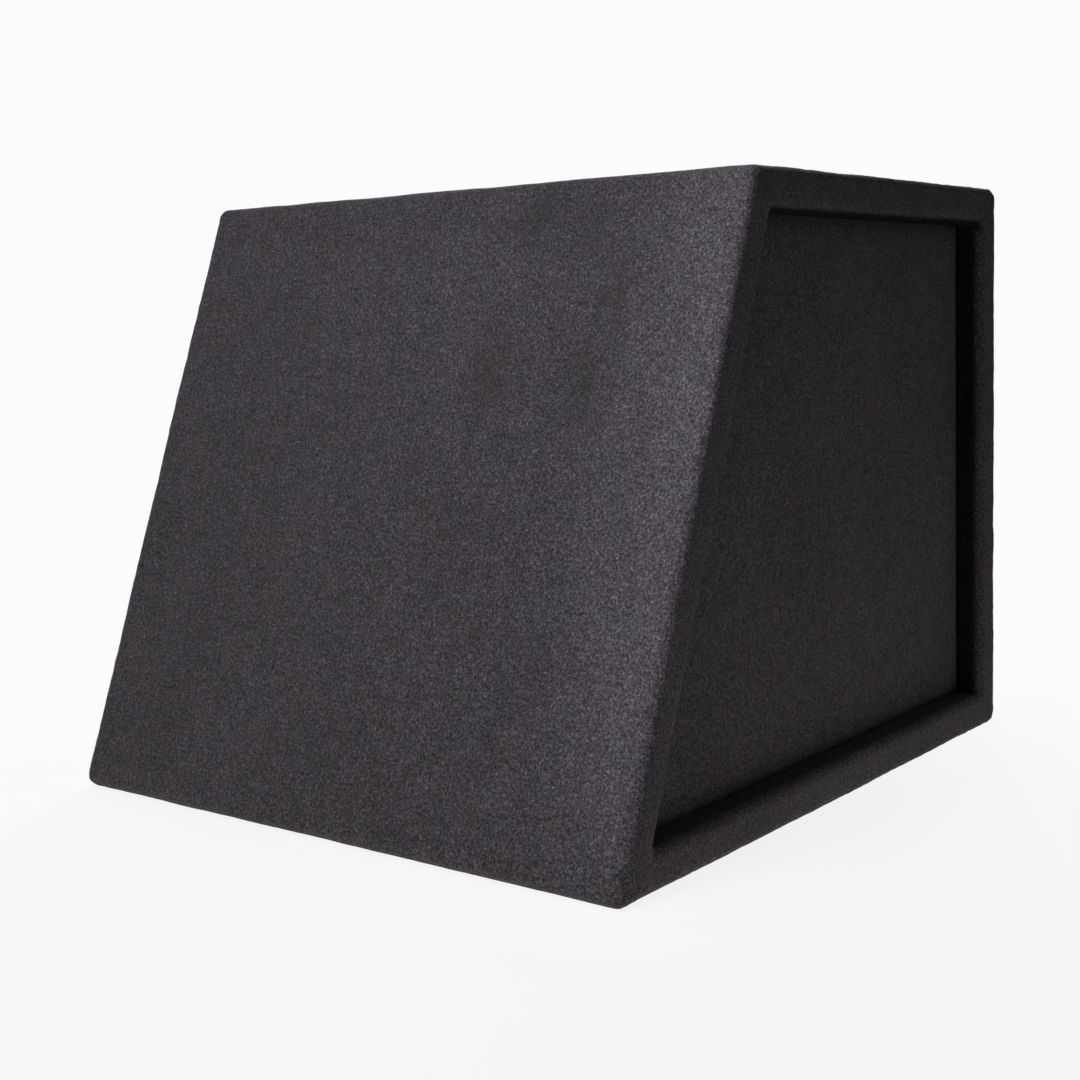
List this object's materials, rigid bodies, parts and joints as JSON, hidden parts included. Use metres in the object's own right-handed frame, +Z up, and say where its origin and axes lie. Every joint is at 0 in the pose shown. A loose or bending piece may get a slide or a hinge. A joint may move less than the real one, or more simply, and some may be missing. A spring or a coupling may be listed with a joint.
{
  "type": "pa speaker cabinet",
  "caption": "Wedge-shaped loudspeaker cabinet in charcoal felt carpet: vertical baffle with a grilled 300 mm woofer, sloping back, side panels recessed in a rim, terminal cup.",
  "frame": {"origin": "centre of the flat carpeted base, halfway along the base's depth and width", "axes": "+Z up; -Y is the way the front baffle and woofer face; +Y is towards the sloping back; +X is the side with the terminal cup (the cabinet's own right when facing its front is at -X, so +X is on the right of someone looking at the baffle)"},
  "size_m": [0.4, 0.4447, 0.342],
  "materials": {
    "board": "medium density fibreboard, sanded, bare",
    "softwood": "sawn softwood, bare",
    "carpet": "charcoal needle-punched felt carpet, matt with a soft sheen",
    "wadding": "white polyester wadding",
    "foam": "closed-cell foam, matt",
    "cast_frame": "die-cast frame, fine black texture coat",
    "black_steel": "black powder coat, satin",
    "plain_steel": "zinc plated",
    "plated_steel": "blackened steel, satin",
    "surround_cloth": "doped cloth, slightly tacky sheen",
    "cone_paper": "treated ribbed paper pulp, matt",
    "spider_cloth": "phenolic-dipped cotton weave",
    "former": "thin coil former, satin",
    "copper": "enamelled copper wire",
    "ferrite": "sintered ferrite, matt",
    "fibre_board": "phenolic board",
    "brass": "gold plated, polished",
    "cup_plastic": "moulded, fine spark texture",
    "black_plastic": "moulded, semi gloss",
    "red_plastic": "moulded, semi gloss",
    "red_insulation": "soft cable insulation",
    "black_insulation": "soft cable insulation"
  },
  "bodies": {
    "cabinet": {"front_baffle": "board", "back_panel": "board", "top_panel": "board", "bottom_panel": "board", "left_side_panel": "board", "right_side_panel": "board", "side_battens": "softwood", "panel_screws": "plain_steel", "carpet_wrap": "carpet", "left_side_carpet": "carpet", "right_side_carpet": "carpet", "back_wadding": "wadding", "bottom_wadding": "wadding", "mounting_gasket": "foam", "woofer_basket": "cast_frame", "woofer_bolts": "black_steel", "tee_nuts": "plain_steel", "surround": "surround_cloth", "trim_gasket": "foam", "spider": "spider_cloth", "top_plate": "plated_steel", "magnet": "ferrite", "yoke": "plated_steel", "woofer_terminal_strip": "fibre_board", "woofer_tags": "brass", "tinsel_leads": "copper", "wire_grille": "black_steel", "grille_clamps": "black_plastic", "grille_screws": "black_steel", "terminal_cup": "cup_plastic", "terminal_gasket": "foam", "terminal_screws": "black_steel", "red_post_base": "red_plastic", "black_post_base": "black_plastic", "red_post_stud": "brass", "black_post_stud": "brass", "post_nuts": "plain_steel", "post_tags": "brass", "jack_socket": "cup_plastic", "jack_nut": "plain_steel", "push_on_connectors": "plain_steel", "red_wire": "red_insulation", "black_wire": "black_insulation", "red_link_wire": "red_insulation", "black_link_wire": "black_insulation"},
    "cone_assembly": {"cone": "cone_paper", "dust_cap": "cone_paper", "voice_coil_former": "former", "voice_coil_winding": "copper"},
    "red_collar": {"red_clamp_collar": "brass"},
    "red_knob": {"red_knob": "red_plastic"},
    "black_collar": {"black_clamp_collar": "brass"},
    "black_knob": {"black_knob": "black_plastic"}
  },
  "joints": [
    {"name": "cone_travel", "type": "slide", "parent": "cabinet", "child": "cone_assembly", "axis": [0, -1, 0], "range_m": [-0.008, 0.008], "stiffness_N_per_m": 3000, "deforming": ["surround", "spider", "tinsel_leads"]},
    {"name": "red_collar_travel", "type": "slide", "parent": "cabinet", "child": "red_collar", "axis": [1, 0, 0], "range_m": [0, 0.005]},
    {"name": "red_knob_turn", "type": "hinge", "parent": "red_collar", "child": "red_knob", "pos_m": [0.183, 0.00953, 0.172], "axis": [1, 0, 0], "range_deg": [0, 1800]},
    {"name": "black_collar_travel", "type": "slide", "parent": "cabinet", "child": "black_collar", "axis": [1, 0, 0], "range_m": [0, 0.005]},
    {"name": "black_knob_turn", "type": "hinge", "parent": "black_collar", "child": "black_knob", "pos_m": [0.183, -0.00953, 0.172], "axis": [1, 0, 0], "range_deg": [0, 1800]}
  ],
  "couplings": [
    {"joint": "red_knob_turn", "follows": "red_collar_travel", "rad_per_m": 6283.2},
    {"joint": "black_knob_turn", "follows": "black_collar_travel", "rad_per_m": 6283.2}
  ]
}
